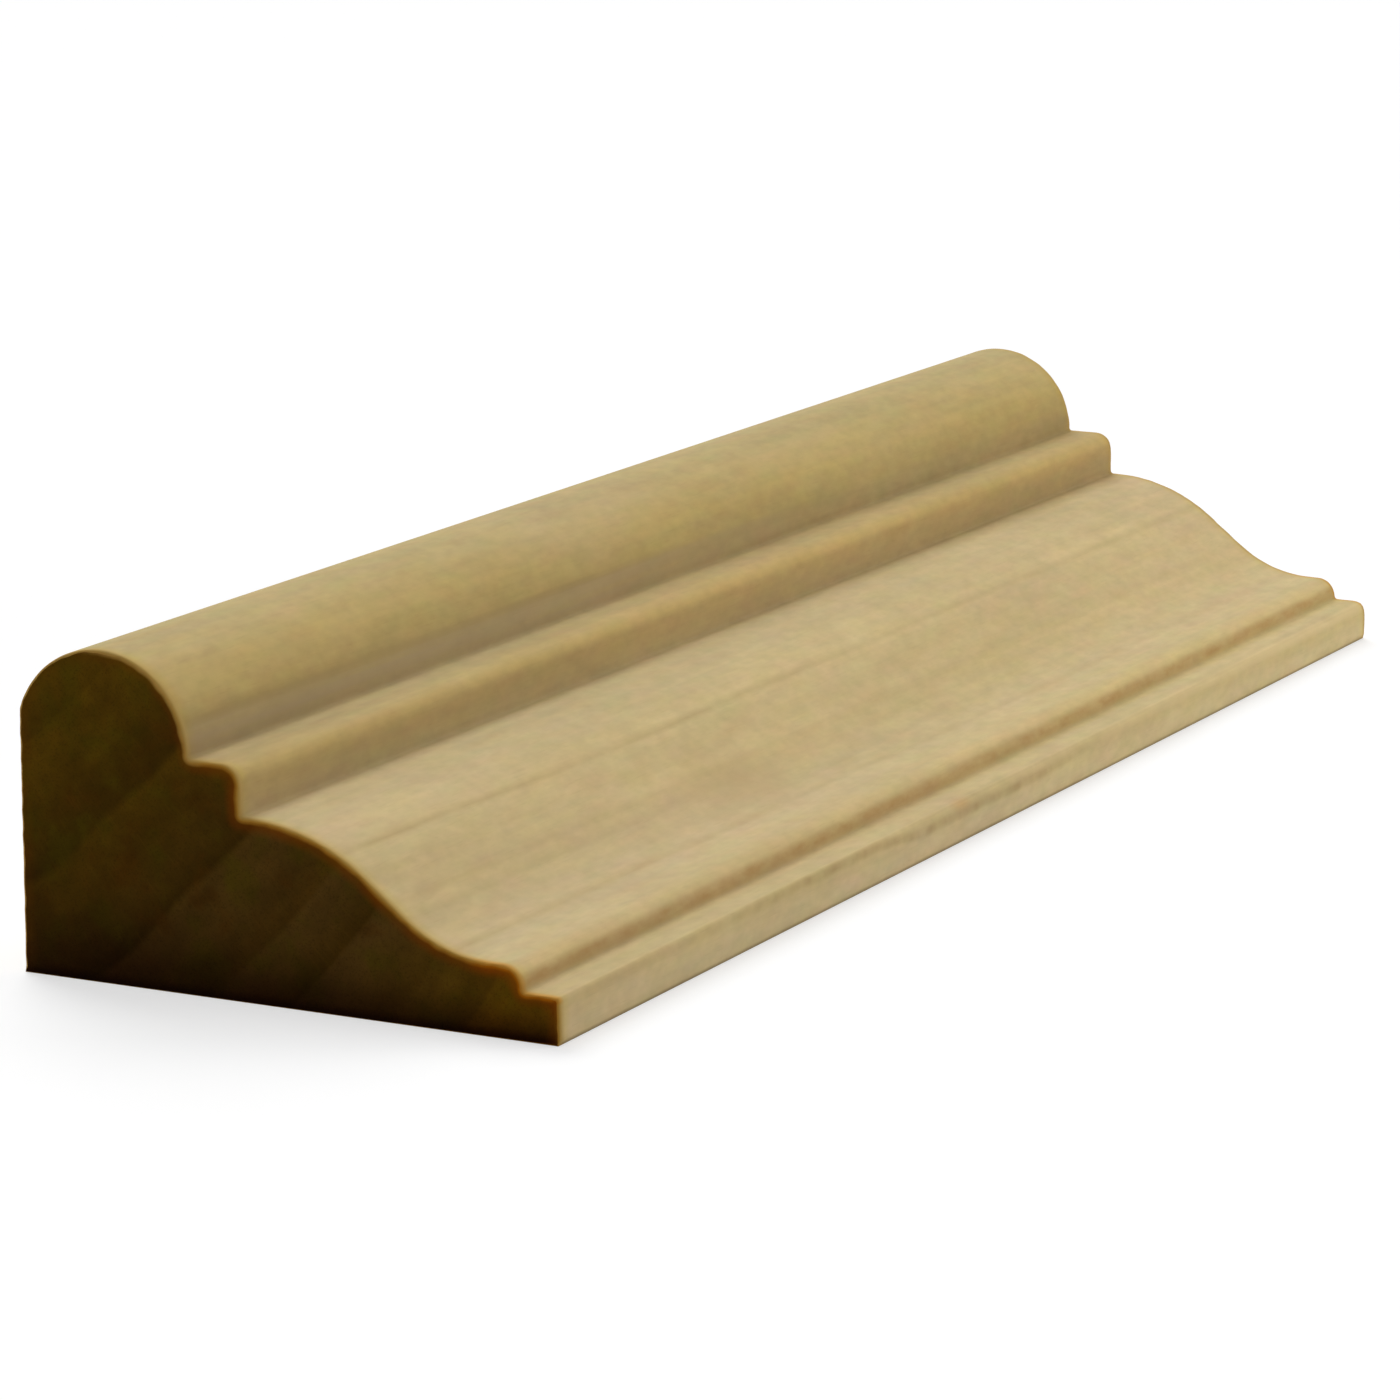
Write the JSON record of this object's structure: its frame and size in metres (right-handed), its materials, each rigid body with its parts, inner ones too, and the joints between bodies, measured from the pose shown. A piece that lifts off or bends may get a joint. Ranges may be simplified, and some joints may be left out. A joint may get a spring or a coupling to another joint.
{
  "type": "panel moulding",
  "caption": "Straight length of bare solid wood moulding with a half-round torus and a rounded step on its thick edge, a long ogee, a small fillet and a thin flat lip.",
  "frame": {"origin": "middle of the flat back, half way along the length", "axes": "+X across the back from the thick edge to the lip, +Y along the grain, +Z out of the flat back towards the crest of the torus"},
  "size_m": [0.0572, 0.2032, 0.0318],
  "materials": {
    "bare_wood": "matte"
  },
  "bodies": {
    "root": {"moulding": "bare_wood"}
  },
  "joints": []
}
